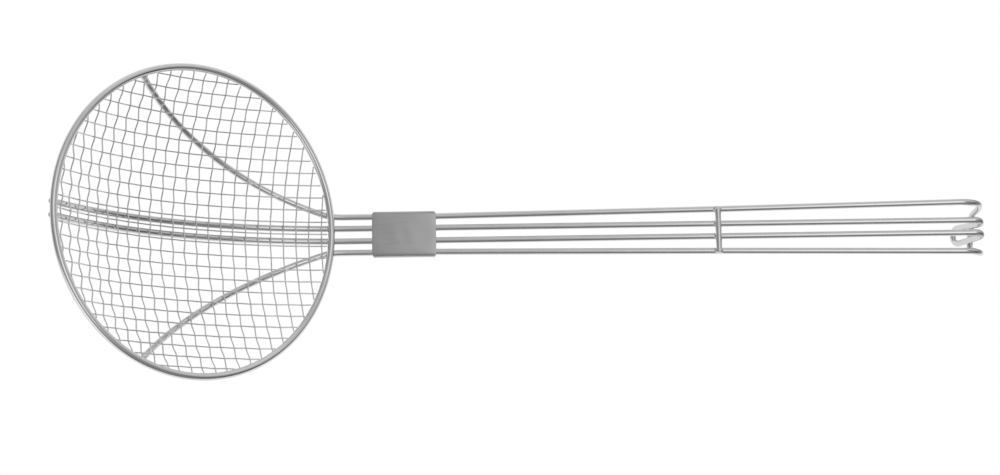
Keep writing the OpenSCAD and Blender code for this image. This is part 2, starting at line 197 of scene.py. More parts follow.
class SkimmerGeometry:
    """Centre lines of every wire, first in the bowl's own frame and then laid down on the table.

    The bowl's own frame starts in the middle of the rim ring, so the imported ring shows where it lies.
    """

    def __init__(
        self,
        wires: WireSizes,
        bowl: BowlSizes,
        ribs: RibSizes,
        handle: HandleSizes,
        hook: HookSizes,
    ) -> None:
        """Works out the derived sizes.

        Args:
            wires: Wire radii.
            bowl: Rim, sphere and weave sizes.
            ribs: Rib sizes.
            handle: Handle sizes.
            hook: Hook sizes.
        """
        self.wires, self.bowl, self.ribs, self.handle, self.hook = wires, bowl, ribs, handle, hook
        self.rim_middle = middle_of("rim_ring")
        self.rim_reach = bowl.sphere_radius - bowl.mesh_below_rim
        self.rim_angle = math.asin(bowl.rim_radius / self.rim_reach)
        self.sphere_height = self.rim_reach * math.cos(self.rim_angle)
        self.centre = Vector((0.0, 0.0, self.sphere_height))
        self.rim_distance = self.along_bowl(self.mesh_end_radius(0.0))
        self.long_pitch = 2 * (self.rim_distance - bowl.long_edge_gap) / (bowl.long_count - 1)
        self.cross_pitch = (
            2 * self.rim_distance - bowl.cross_far_gap - bowl.cross_near_gap
        ) / (bowl.cross_count - 1)
        self._place_inner_rib()
        rise = math.radians(handle.rise)
        self.handle_start = Vector((
            self.rib_radius * math.sin(rise),
            0.0,
            self.rib_height - self.rib_radius * math.cos(rise),
        ))
        self.handle_way = Vector((math.cos(rise), 0.0, math.sin(rise)))
        self.handle_up = Vector((-math.sin(rise), 0.0, math.cos(rise)))
        turn = math.radians(hook.turn)
        spare = 2 * wires.frame + hook.clearance
        self.outer_bend = hook.inner_radius + spare / (1 - math.cos(turn) - math.sin(turn))
        tip = self.on_leg(hook.inner_radius, hook.eye_leg + hook.eye_radius, 0.0)
        span = Vector((tip.x, tip.z - self.rib_height))
        self.tilt = math.atan2(span.y, span.x) + math.asin(self.rib_radius / span.length)

    def _place_inner_rib(self) -> None:
        """Finds the arc of the inner ribs: it touches the mesh at the bottom and the rim from below."""
        slope = math.atan(2 * self.ribs.mesh_swing / self.long_pitch)
        under_rim = self.wires.rim + self.wires.frame + self.ribs.clearance
        reach = self.rim_reach + under_rim
        touch_x = reach * math.sin(self.rim_angle)
        touch_z = self.sphere_height - reach * math.cos(self.rim_angle)
        drop = (self.wires.frame + self.wires.mesh + self.ribs.clearance) / math.cos(slope)
        bottom = self.sphere_height - self.bowl.sphere_radius - drop
        rise = touch_z - bottom
        self.rib_radius = (touch_x**2 + rise**2) / (2 * rise)
        self.rib_height = bottom + self.rib_radius

    def rest(self, point: Vector) -> Vector:
        """Moves a point of the bowl's frame, in millimetres, to the table's frame, in metres.

        Args:
            point: Point in the bowl's frame.

        Returns:
            The same point of the skimmer at rest.
        """
        cos_tilt, sin_tilt = math.cos(self.tilt), math.sin(self.tilt)
        x = point.x * cos_tilt + point.z * sin_tilt
        z = point.z * cos_tilt - point.x * sin_tilt
        return Vector((x, point.y, z)) * MM + self.rim_middle

    def on_sphere(self, x: float, y: float, radius: float) -> Vector:
        """Gives the point below (x, y) on a sphere round the bowl sphere's centre."""
        return Vector((x, y, self.sphere_height - math.sqrt(radius**2 - x**2 - y**2)))

    def off_mesh(self, x: float, y: float, offset: float) -> Vector:
        """Gives the point at (x, y) of the mesh's surface, moved outwards by an offset."""
        way = (self.on_sphere(x, y, self.bowl.sphere_radius) - self.centre).normalized()
        return self.centre + way * (self.bowl.sphere_radius + offset)

    def along_bowl(self, place: float) -> float:
        """Gives the distance along the bowl of a plan coordinate."""
        return self.bowl.sphere_radius * math.asin(place / self.bowl.sphere_radius)

    def on_bowl(self, distance: float) -> float:
        """Gives the plan coordinate of a distance along the bowl."""
        return self.bowl.sphere_radius * math.sin(distance / self.bowl.sphere_radius)

    def mesh_end_radius(self, offset: float) -> float:
        """Finds how far from the bowl's axis a mesh wire meets the rim.

        Args:
            offset: How far outside the sphere the wire's end lies.

        Returns:
            The plan radius of the wire's end.
        """
        gap = self.wires.rim + self.wires.mesh + self.bowl.end_clearance
        reach = self.bowl.sphere_radius + offset
        bend = math.acos((reach**2 + self.rim_reach**2 - gap**2) / (2 * reach * self.rim_reach))
        return self.bowl.sphere_radius * math.sin(self.rim_angle - bend)

    def on_handle(self, along: float, side: float, up: float) -> Vector:
        """Gives a point on the handle: distance along it, to the side and up."""
        place = self.handle_start + along * self.handle_way + up * self.handle_up
        return place + Vector((0.0, side, 0.0))

    def on_hook(self, radius: float, turn: float, side: float) -> Vector:
        """Gives a point on a hook bend.

        Args:
            radius: Radius of the bend.
            turn: Degrees that the wire has turned there.
            side: Distance from the middle plane.

        Returns:
            The point in the bowl's frame.
        """
        angle = math.radians(turn)
        along = self.handle.length - self.wires.frame - radius + radius * math.sin(angle)
        return self.on_handle(along, side, radius * math.cos(angle) - radius)

    def on_leg(self, radius: float, distance: float, side: float) -> Vector:
        """Gives a point on the leg that follows a hook bend.

        Args:
            radius: Radius of the bend.
            distance: Distance from the bend's end.
            side: Distance from the middle plane.

        Returns:
            The point in the bowl's frame.
        """
        turn = math.radians(self.hook.turn)
        way = math.cos(turn) * self.handle_way - math.sin(turn) * self.handle_up
        return self.on_hook(radius, self.hook.turn, side) + distance * way

    @staticmethod
    def mirrored(half: Sequence[Vector]) -> list[Vector]:
        """Adds a half path's mirror image, without doubling a middle point on the mirror plane.

        Args:
            half: Points from one end to the middle.

        Returns:
            Points from one end to the other.
        """
        back = list(reversed(half))
        if abs(back[0].y) < SAME_POINT:
            back = back[1:]
        return list(half) + [Vector((p.x, -p.y, p.z)) for p in back]

    def swayed(self, path: Sequence[Vector], sway: HookSway) -> list[Vector]:
        """Bends a hairpin's hook a little unevenly, as a hand bends it.

        Args:
            path: Centre line of the hairpin.
            sway: How far its bent end departs.

        Returns:
            The centre line with its hook moved.
        """
        moved = []
        for point in path:
            place = point - self.handle_start
            depth = -place.dot(self.handle_up)
            if place.dot(self.handle_way) < self.handle.length / 2:
                depth = 0.0
            share = min(1.0, max(0.0, depth / sway.depth))
            ease = share * share * (3 - 2 * share)
            here = point + self.handle_way * ((sway.reach + sway.skew * point.y) * ease)
            here.y = point.y * (1 - sway.squeeze * ease**3) + sway.shift * ease
            moved.append(here)
        return moved

    def inner_path(self, steps: int) -> list[Vector]:
        """Gives the inner frame wire's centre line: ribs, handle wires, hook and hanging eye.

        Args:
            steps: Half of the hook's and the eye's steps, and a third of a rib's.

        Returns:
            The points from one rib's end to the other's.
        """
        handle, hook, offset = self.handle, self.hook, self.ribs.inner_offset
        reach = self.bowl.rim_radius + self.ribs.end_overhang
        first = -math.degrees(math.asin(reach / self.rib_radius))
        flare = math.asin(hook.eye_radius / math.hypot(hook.eye_leg, offset))
        flare -= math.atan2(offset, hook.eye_leg)

        def rib(angle: float) -> Vector:
            """Gives a point of the rib's arc.

            Args:
                angle: Degrees from the arc's lowest point.

            Returns:
                The point in the bowl's frame.
            """
            turn = math.radians(angle)
            height = self.rib_height - self.rib_radius * math.cos(turn)
            return Vector((self.rib_radius * math.sin(turn), offset, height))

        def straight(along: float) -> Vector:
            """Gives a point of the straight handle wire."""
            return self.on_handle(along, offset, 0.0)

        def bend(turn: float) -> Vector:
            """Gives a point of the hook's bend."""
            return self.on_hook(hook.inner_radius, turn, offset)

        def leg(distance: float) -> Vector:
            """Gives a point of the leg, which opens towards the eye."""
            return self.on_leg(hook.inner_radius, distance, offset + distance * math.tan(flare))

        def eye(angle: float) -> Vector:
            """Gives a point of the eye's round end."""
            along = hook.eye_leg + hook.eye_radius * math.cos(angle)
            return self.on_leg(hook.inner_radius, along, hook.eye_radius * math.sin(angle))

        start, stop = handle.inner_margins[0], handle.length - handle.inner_margins[1]
        half = arc_points(rib, first, handle.rise, 3 * steps)
        half += arc_points(straight, start, stop, handle.inner_steps)
        half += arc_points(bend, 0.0, hook.turn, 2 * steps)
        half += arc_points(leg, *hook.leg_span, hook.leg_steps)
        half += arc_points(eye, math.pi / 2 + flare, 0.0, 2 * steps)
        return self.swayed(self.mirrored(half), INNER_SWAY)

    def outer_rib(self, steps: int) -> list[Vector]:
        """Gives the centre line of an outer rib and of its bend to the handle wire.

        Args:
            steps: Steps of the bend, and a third of the rib's.

        Returns:
            The points from the rib's end to the handle.
        """
        ribs, handle, rim = self.ribs, self.handle, self.bowl.rim_radius
        sphere = self.bowl.sphere_radius + ribs.mesh_swing + self.wires.mesh
        sphere += self.wires.frame + ribs.clearance
        reach, turn = rim + ribs.end_overhang, math.radians(ribs.end_angle)
        near = self.on_sphere(rim * ribs.near_shares[0], rim * ribs.near_shares[1], sphere)
        middle = self.on_sphere(rim * ribs.middle_shares[0], rim * ribs.middle_shares[1], sphere)
        far = self.on_sphere(reach * math.cos(turn), reach * math.sin(turn), sphere)
        normal = (middle - near).cross(far - near).normalized()
        centre = self.centre + normal * (near - self.centre).dot(normal)
        radius = (near - centre).length
        axis_x = (near - centre).normalized()
        axis_y = normal.cross(axis_x)
        sweep = math.atan2((far - centre).dot(axis_y), (far - centre).dot(axis_x))
        heading = -axis_y if sweep > 0 else axis_y
        end = self.on_handle(handle.bend_end, handle.spread_at_sleeve, 0.0)
        pull = (end - near).length * handle.blend_share
        first, second = near + pull * heading, end - pull * self.handle_way

        def rib(angle: float) -> Vector:
            """Gives a point of the rib's arc."""
            return centre + radius * (math.cos(angle) * axis_x + math.sin(angle) * axis_y)

        def bend(t: float) -> Vector:
            """Gives a point of the bend, a cubic curve that leaves and arrives without a kink."""
            s = 1 - t
            return s**3 * near + 3 * s * s * t * first + 3 * s * t * t * second + t**3 * end

        half = arc_points(rib, sweep, 0.0, 3 * steps)
        return half + arc_points(bend, 1 / steps, 1.0, steps - 1)

    def outer_path(self, steps: int) -> list[Vector]:
        """Gives the outer frame wire's centre line: ribs, handle wires, hook and crosspiece.

        Args:
            steps: Steps of a short bend, half of the hook's and a third of a rib's.

        Returns:
            The points from one rib's end to the other's.
        """
        handle, hook = self.handle, self.hook
        half = self.outer_rib(steps)
        stations = (
            (handle.sleeve_start + handle.sleeve_length, handle.spread_at_sleeve),
            (handle.cross_wire_at, handle.spread_at_cross_wire),
            (handle.length - self.wires.frame - self.outer_bend, handle.spread_at_hook),
        )
        at, spread = handle.bend_end, handle.spread_at_sleeve
        for stop, width in stations:
            count = round((stop - at) / handle.outer_step)
            for i in range(1, count + 1):
                share = i / count
                half.append(
                    self.on_handle(at + (stop - at) * share, spread + (width - spread) * share, 0.0)
                )
            at, spread = stop, width
        half.pop()

        def bend(turn: float) -> Vector:
            """Gives a point of the hook's bend, whose first point takes the place of the last one above."""
            return self.on_hook(self.outer_bend, turn, handle.spread_at_hook)

        def corner(angle: float) -> Vector:
            """Gives a point of the crosspiece's rounded corner.

            Args:
                angle: How far the wire has turned there, in radians.

            Returns:
                The point in the bowl's frame.
            """
            along = hook.corner_radius * math.sin(angle)
            side = handle.spread_at_hook - hook.corner_radius * (1 - math.cos(angle))
            return self.on_leg(self.outer_bend, along, side)

        half += arc_points(bend, 0.0, hook.turn, 2 * steps)
        half += arc_points(corner, math.pi / 2 / steps, math.pi / 2, steps - 1)
        half.append(self.on_leg(self.outer_bend, hook.corner_radius, hook.crosspiece_point))
        return self.swayed(self.mirrored(half), OUTER_SWAY)


def headings(path: Sequence[Vector]) -> list[Vector]:
    """Gives the direction of travel at every point of a path.

    Args:
        path: Points of the path.

    Returns:
        One unit vector for each point.
    """
    runs = [(after - before).normalized() for before, after in zip(path, path[1:])]
    return [(back + on).normalized() for back, on in zip(runs[:1] + runs, runs + runs[-1:])]


def close_up(bm: bmesh.types.BMesh) -> None:
    """Turns the faces of a closed mesh outwards and shades them smooth.

    Args:
        bm: The mesh.
    """
    bmesh.ops.recalc_face_normals(bm, faces=bm.faces)
    for face in bm.faces:
        face.smooth = True


@dataclass
class RoundWire:
    """A round wire swept along a centre line by extruding a circle of edges from point to point.

    The path and the radius are in metres. The section's first point faces the first direction, and the
    ends are rounded by a share of the radius.
    """

    path: list[Vector]
    radius: float
    sides: int
    first: Vector
    end_rounding: float = 0.3
    end_segments: int = 3

    def placements(self) -> list[Matrix]:
        """Places the section at every point, carried along without twist.

        Returns:
            One matrix for each point of the path.
        """
        ways = headings(self.path)
        side = (self.first - ways[0] * self.first.dot(ways[0])).normalized()
        places = []
        for i, (point, way) in enumerate(zip(self.path, ways)):
            if i:
                side = (ways[i - 1].rotation_difference(way) @ side).normalized()
            turn = Matrix((side, way.cross(side), way)).transposed().to_4x4()
            places.append(Matrix.Translation(point) @ turn)
        return places

    def mesh(self) -> bmesh.types.BMesh:
        """Sweeps the wire and rounds its two ends.

        Returns:
            The wire's mesh, with each vertex's place along and round the wire kept in wire_space.
        """
        bm = bmesh.new()
        space = bm.verts.layers.float_vector.new(WIRE_SPACE)
        places = self.placements()
        made = bmesh.ops.create_circle(
            bm, cap_ends=False, segments=self.sides, radius=self.radius, matrix=places[0]
        )
        edges = list(bm.edges)
        first_edges = edges
        distance = 0.0
        self._mark(made["verts"], space, places[0], distance)
        for i in range(1, len(places)):
            out = bmesh.ops.extrude_edge_only(bm, edges=edges)["geom"]
            ring = [item for item in out if isinstance(item, bmesh.types.BMVert)]
            members = set(ring)
            edges = [
                item for item in out
                if isinstance(item, bmesh.types.BMEdge) and members.issuperset(item.verts)
            ]
            step = places[i] @ places[i - 1].inverted()
            bmesh.ops.transform(bm, matrix=step, verts=ring)
            distance += (self.path[i] - self.path[i - 1]).length
            self._mark(ring, space, places[i], distance)
        for loop in (first_edges, edges):
            cap = bmesh.ops.holes_fill(bm, edges=loop, sides=0)["faces"]
            bmesh.ops.bevel(
                bm,
                geom=[edge for face in cap for edge in face.edges],
                offset=self.radius * self.end_rounding,
                offset_type="OFFSET",
                segments=self.end_segments,
                profile=0.5,
                affect="EDGES",
                material=-1,
            )
        close_up(bm)
        return bm

    @staticmethod
    def _mark(
        ring: Sequence[bmesh.types.BMVert],
        space: bmesh.types.BMLayerItem,
        place: Matrix,
        distance: float,
    ) -> None:
        """Stores each vertex's direction round the wire and its distance along it.

        Args:
            ring: Vertices of one section.
            space: Layer that takes the values.
            place: The section's place.
            distance: Distance of the section from the wire's start.
        """
        back = place.inverted()
        for vert in ring:
            local = back @ vert.co
            around = math.atan2(local.y, local.x)
            vert[space] = (math.cos(around), math.sin(around), distance)


class ShadeKind(Enum):
    """Which finish a surface has."""

    RIM = "rim_steel"
    FRAME = "frame_steel"
    SLEEVE = "sleeve_steel"
    MESH = "mesh_steel"


@dataclass(frozen=True)
class SteelFinish:
    """Settings of one steel finish.

    Colours, roughness and blue tints each have a value for the darkest and one for the lightest marks.
    Streaks are the marks' scales along and across the wire, and the bump is their strength as relief.
    """

    colours: tuple[float, float]
    roughness: tuple[float, float]
    streaks: tuple[float, float]
    bump: float
    blue_tints: tuple[float, float] = (1.006, 1.004)


FINISHES = {
    ShadeKind.RIM: SteelFinish(
        colours=(0.64, 0.72), roughness=(0.10, 0.18), streaks=(40.0, 1.6), bump=0.008
    ),
    ShadeKind.FRAME: SteelFinish(
        colours=(0.61, 0.69), roughness=(0.11, 0.18), streaks=(30.0, 1.4), bump=0.008
    ),
    ShadeKind.SLEEVE: SteelFinish(
        colours=(0.41, 0.46), roughness=(0.26, 0.34), streaks=(60.0, 5.0), bump=0.02
    ),
    ShadeKind.MESH: SteelFinish(
        colours=(0.60, 0.74), roughness=(0.14, 0.26), streaks=(90.0, 1.2), bump=0.02
    ),
}


@dataclass(frozen=True)
class MarkNoise:
    """Settings of one noise texture."""

    scale: float
    detail: float
    roughness: float


STREAK_NOISE = MarkNoise(scale=1.0, detail=4.0, roughness=0.62)
SCRATCH_NOISE = MarkNoise(scale=5.0, detail=3.0, roughness=0.7)
STAIN_NOISE = MarkNoise(scale=95.0, detail=3.0, roughness=0.55)
STREAK_RANGE = (0.33, 0.67)
STAIN_RANGE = (0.35, 0.68)
STREAK_SHARE = 0.65
STAIN_SHARE = 0.35
MARK_HEIGHT = 0.0004


class NodeHelper:
    """Adds and joins nodes of one tree with little writing."""

    def __init__(self, tree: bpy.types.NodeTree) -> None:
        """Keeps the tree of a material, group or world."""
        self.tree = tree

    def add(self, kind: str, **values: object) -> bpy.types.Node:
        """Adds a node and sets its properties, and its sockets where a name is a socket's.

        Args:
            kind: Blender's name of the node type.
            **values: Properties of the node, or socket values with spaces written as underscores.

        Returns:
            The new node.
        """
        node = self.tree.nodes.new(kind)
        for name, value in values.items():
            if hasattr(node, name):
                setattr(node, name, value)
            else:
                node.inputs[name.replace("_", " ")].default_value = value
        return node

    def join(self, source: bpy.types.NodeSocket, target: bpy.types.NodeSocket) -> None:
        """Links an output socket to an input socket."""
        self.tree.links.new(source, target)

    def noise(self, settings: MarkNoise, vector: bpy.types.NodeSocket) -> bpy.types.NodeSocket:
        """Adds a noise texture.

        Args:
            settings: Its scale, detail and roughness.
            vector: Socket with the place that it reads.

        Returns:
            The socket with its value.
        """
        texture = self.add(
            "ShaderNodeTexNoise",
            Scale=settings.scale,
            Detail=settings.detail,
            Roughness=settings.roughness,
        )
        self.join(vector, texture.inputs["Vector"])
        return texture.outputs["Fac"]

    def ranged(
        self,
        value: bpy.types.NodeSocket,
        source: tuple[float, float],
        target: tuple[float, float],
        way: str = "LINEAR",
    ) -> bpy.types.NodeSocket:
        """Adds a node that maps one range of values to another, and keeps within it.

        Args:
            value: Socket with the value.
            source: Two values.
            target: What the two become.
            way: Blender's name of the curve between them.

        Returns:
            The socket with the mapped value.
        """
        mapped = self.add(
            "ShaderNodeMapRange",
            interpolation_type=way,
            From_Min=source[0],
            From_Max=source[1],
            To_Min=target[0],
            To_Max=target[1],
        )
        self.join(value, mapped.inputs["Value"])
        return mapped.outputs["Result"]

    def added(
        self, first: bpy.types.NodeSocket, second: bpy.types.NodeSocket
    ) -> bpy.types.NodeSocket:
        """Adds a node that sums two values.

        Args:
            first: Socket with one value.
            second: Socket with the other.

        Returns:
            The socket with the sum.
        """
        total = self.add("ShaderNodeMath", operation="ADD")
        self.join(first, total.inputs[0])
        self.join(second, total.inputs[1])
        return total.outputs["Value"]

    def mixed(
        self,
        share: bpy.types.NodeSocket,
        first: bpy.types.NodeSocket,
        second: bpy.types.NodeSocket,
    ) -> bpy.types.NodeSocket:
        """Adds a node that mixes two shaders.

        Args:
            share: Socket with the second one's share.
            first: Socket with one shader.
            second: Socket with the other.

        Returns:
            The socket with the mix.
        """
        mix = self.add("ShaderNodeMixShader")
        self.join(share, mix.inputs["Fac"])
        self.join(first, mix.inputs[1])
        self.join(second, mix.inputs[2])
        return mix.outputs["Shader"]


def streak_group() -> bpy.types.NodeTree:
    """Makes the shared group that turns wire space into drawing streaks, stains and fine scratches.

    Returns:
        A node group with the inputs Vector, Along and Across, and the outputs Streaks, Stains and Height.
    """
    group = bpy.data.node_groups.new("drawn_steel_marks", "ShaderNodeTree")
    face = group.interface
    face.new_socket("Vector", in_out="INPUT", socket_type="NodeSocketVector")
    for name in ("Along", "Across"):
        face.new_socket(name, in_out="INPUT", socket_type="NodeSocketFloat")
    for name in ("Streaks", "Stains", "Height"):
        face.new_socket(name, in_out="OUTPUT", socket_type="NodeSocketFloat")
    nodes = NodeHelper(group)
    source = nodes.add("NodeGroupInput")
    sink = nodes.add("NodeGroupOutput")
    stretch = nodes.add("ShaderNodeCombineXYZ")
    nodes.join(source.outputs["Across"], stretch.inputs["X"])
    nodes.join(source.outputs["Across"], stretch.inputs["Y"])
    nodes.join(source.outputs["Along"], stretch.inputs["Z"])
    scaled = nodes.add("ShaderNodeVectorMath", operation="MULTIPLY")
    nodes.join(source.outputs["Vector"], scaled.inputs[0])
    nodes.join(stretch.outputs["Vector"], scaled.inputs[1])
    object_space = nodes.add("ShaderNodeTexCoord")
    streaks = nodes.noise(STREAK_NOISE, scaled.outputs["Vector"])
    scratches = nodes.noise(SCRATCH_NOISE, scaled.outputs["Vector"])
    stains = nodes.noise(STAIN_NOISE, object_space.outputs["Object"])
    nodes.join(nodes.ranged(streaks, STREAK_RANGE, (0.0, 1.0)), sink.inputs["Streaks"])
    nodes.join(nodes.ranged(stains, STAIN_RANGE, (0.0, 1.0)), sink.inputs["Stains"])
    nodes.join(nodes.added(streaks, scratches), sink.inputs["Height"])
    return group


class SteelMaterials:
    """Makes and hands out the four steel materials."""

    def __init__(self) -> None:
        """Makes the shared marks group and all the materials."""
        self.marks = streak_group()
        self.made = {kind: self._steel(kind, finish) for kind, finish in FINISHES.items()}

    def _steel(self, kind: ShadeKind, finish: SteelFinish) -> bpy.types.Material:
        """Makes one steel material.

        Args:
            kind: Which surface it is for.
            finish: Its settings.

        Returns:
            The material.
        """
        material = bpy.data.materials.new("worn_" + kind.value)
        material.use_nodes = True
        material.node_tree.nodes.clear()
        nodes = NodeHelper(material.node_tree)
        output = nodes.add("ShaderNodeOutputMaterial")
        shader = nodes.add("ShaderNodeBsdfPrincipled", Metallic=1.0)
        nodes.join(shader.outputs["BSDF"], output.inputs["Surface"])
        space = nodes.add("ShaderNodeAttribute", attribute_name=WIRE_SPACE)
        marks = nodes.add("ShaderNodeGroup", node_tree=self.marks)
        for name, scale in zip(("Along", "Across"), finish.streaks):
            marks.inputs[name].default_value = scale
        nodes.join(space.outputs["Vector"], marks.inputs["Vector"])
        stains = nodes.add("ShaderNodeMath", operation="MULTIPLY")
        stains.inputs[1].default_value = STAIN_SHARE
        nodes.join(marks.outputs["Stains"], stains.inputs[0])
        tone = nodes.add("ShaderNodeMath", operation="MULTIPLY_ADD")
        tone.inputs[1].default_value = STREAK_SHARE
        nodes.join(marks.outputs["Streaks"], tone.inputs[0])
        nodes.join(stains.outputs["Value"], tone.inputs[2])
        ramp = nodes.add("ShaderNodeValToRGB")
        for stop, grey, tint in zip(ramp.color_ramp.elements, finish.colours, finish.blue_tints):
            stop.color = (grey, grey, grey * tint, 1.0)
        nodes.join(tone.outputs["Value"], ramp.inputs["Fac"])
        nodes.join(ramp.outputs["Color"], shader.inputs["Base Color"])
        rough = nodes.ranged(tone.outputs["Value"], (0.0, 1.0), finish.roughness)
        nodes.join(rough, shader.inputs["Roughness"])
        bump = nodes.add("ShaderNodeBump", Strength=finish.bump, Distance=MARK_HEIGHT)
        nodes.join(marks.outputs["Height"], bump.inputs["Height"])
        nodes.join(bump.outputs["Normal"], shader.inputs["Normal"])
        return material

    def give(self, piece: bpy.types.Object, kind: ShadeKind) -> None:
        """Gives a piece its material.

        Args:
            piece: The piece.
            kind: Its finish.
        """
        piece.data.materials.clear()
        piece.data.materials.append(self.made[kind])


@dataclass
class Assembly:
    """What every sub-assembly has: the centre lines, the materials and the pieces that it made."""

    geometry: SkimmerGeometry
    steel: SteelMaterials
    pieces: list[bpy.types.Object] = field(default_factory=list)

    def finish(
        self, name: str, bm: bmesh.types.BMesh, kind: ShadeKind, *nodes: str
    ) -> bpy.types.Object:
        """Turns a finished mesh into a piece that rides on the frame.

        Args:
            name: Name of the piece.
            bm: Its mesh, in metres and in place. It is freed.
            kind: Its finish.
            *nodes: CAD nodes that the piece stands for.

        Returns:
            The new object.
        """
        data = bpy.data.meshes.new(name)
        bm.to_mesh(data)
        bm.free()
        piece = bpy.data.objects.new(name, data)
        bpy.context.scene.collection.objects.link(piece)
        self.steel.give(piece, kind)
        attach(piece, "root")
        if nodes:
            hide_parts(*nodes)
        self.pieces.append(piece)
        LOG.info("made %s with %d faces", name, len(data.polygons))
        return piece


@dataclass
class Rim(Assembly):
    """The rim ring: one thick round wire bent to a circle of many short segments."""

    segments: int = 288
    sides: int = 36

    def build(self) -> None:
        """Spins the wire's section round the bowl's axis."""
        radius, wire = self.geometry.bowl.rim_radius, self.geometry.wires.rim
        bm = bmesh.new()
        space = bm.verts.layers.float_vector.new(WIRE_SPACE)
        upright = Matrix.Translation((radius, 0.0, 0.0)) @ Matrix.Rotation(math.pi / 2, 4, "X")
        bmesh.ops.create_circle(
            bm, cap_ends=False, segments=self.sides, radius=wire, matrix=upright
        )
        bmesh.ops.spin(
            bm,
            geom=bm.verts[:] + bm.edges[:],
            cent=(0.0, 0.0, 0.0),
            axis=UPWARDS,
            angle=math.tau,
            steps=self.segments,
            use_merge=True,
        )
        for vert in bm.verts:
            along = math.atan2(vert.co.y, vert.co.x) * radius * MM
            around = math.atan2(vert.co.z, vert.co.to_2d().length - radius)
            vert[space] = (math.cos(around), math.sin(around), along)
            vert.co = self.geometry.rest(vert.co)
        close_up(bm)
        self.finish("rim_wire", bm, ShadeKind.RIM, "rim_ring")


@dataclass
class FrameWires(Assembly):
    """The two bent frame wires."""

    sides: int = 28

    def build(self) -> None:
        """Sweeps both hairpins."""
        geometry = self.geometry
        paths = {
            "inner_hairpin": (
                geometry.inner_path(BEND_STEPS),
                ("inner_wire_left", "inner_wire_right", "eye_bend"),
            ),
            "outer_hairpin": (
                geometry.outer_path(BEND_STEPS),
                ("outer_wire_left", "outer_wire_right", "crosspiece_bend"),
            ),
        }
        for name, (path, nodes) in paths.items():
            laid = [geometry.rest(p) for p in path]
            wire = RoundWire(laid, geometry.wires.frame * MM, self.sides, UPWARDS)
            self.finish(name, wire.mesh(), ShadeKind.FRAME, *nodes)


@dataclass
class Weave(Assembly):
    """The bowl's mesh: long and cross wires that pass over and under each other."""

    sides: int = 12
    steps_between: int = 8
    fewest_steps: int = 12
    end_rounds: int = 6

    @staticmethod
    def swing(i: int, distance: float, first: float, pitch: float) -> float:
        """Gives how far wire i lies to the outside at a distance, from -1 to 1.

        Args:
            i: Number of the wire.
            distance: Distance along the wire.
            first: Distance of the first wire that it crosses.
            pitch: Distance between the wires that it crosses.

        Returns:
            A cosine with its crests at the crossed wires.
        """
        return math.cos(math.pi * ((distance - first) / pitch + i))

    def wire_line(self, i: int, across: bool) -> list[Vector]:
        """Gives the centre line of a mesh wire in the bowl's frame.

        Args:
            i: Number of the wire, from 0.
            across: Whether it is a cross wire.

        Returns:
            Its points.
        """
        geometry, bowl = self.geometry, self.geometry.bowl
        first_long = bowl.long_edge_gap - geometry.rim_distance
        first_cross = bowl.cross_far_gap - geometry.rim_distance
        if across:
            place = geometry.on_bowl(first_cross + i * geometry.cross_pitch)
            first, pitch, size = first_long, geometry.long_pitch, bowl.cross_swing
        else:
            place = geometry.on_bowl(first_long + i * geometry.long_pitch)
            first, pitch, size = first_cross, geometry.cross_pitch, -bowl.long_swing

        def end(side: int) -> float:
            """Finds where the wire meets the rim, in rounds because its swing there moves the place.

            Args:
                side: 1 for its last end and -1 for its first.

            Returns:
                The distance of that end along the bowl.
            """
            offset = 0.0
            reach = 0.0
            for _ in range(self.end_rounds):
                radius = geometry.mesh_end_radius(offset)
                reach = geometry.along_bowl(side * math.sqrt(radius**2 - place**2))
                offset = size * self.swing(i, reach, first, pitch)
            return reach

        low, high = end(-1), end(1)
        steps = max(self.fewest_steps, round((high - low) / pitch * self.steps_between))
        points = []
        for k in range(steps + 1):
            distance = low + (high - low) * k / steps
            offset = size * self.swing(i, distance, first, pitch)
            along = geometry.on_bowl(distance)
            x, y = (place, along) if across else (along, place)
            points.append(geometry.off_mesh(x, y, offset))
        return points

    def build(self) -> None:
        """Sweeps every mesh wire."""
        geometry = self.geometry
        inward = geometry.rest(geometry.centre)
        for across, count, kind in (
            (False, geometry.bowl.long_count, "long"),
            (True, geometry.bowl.cross_count, "cross"),
        ):
            for i in range(count):
                laid = [geometry.rest(p) for p in self.wire_line(i, across)]
                wire = RoundWire(laid, geometry.wires.mesh * MM, self.sides, laid[0] - inward)
                self.finish(
                    f"woven_{kind}_{i + 1:02d}",
                    wire.mesh(),
                    ShadeKind.MESH,
                    f"mesh_{kind}_{i + 1:02d}",
                )


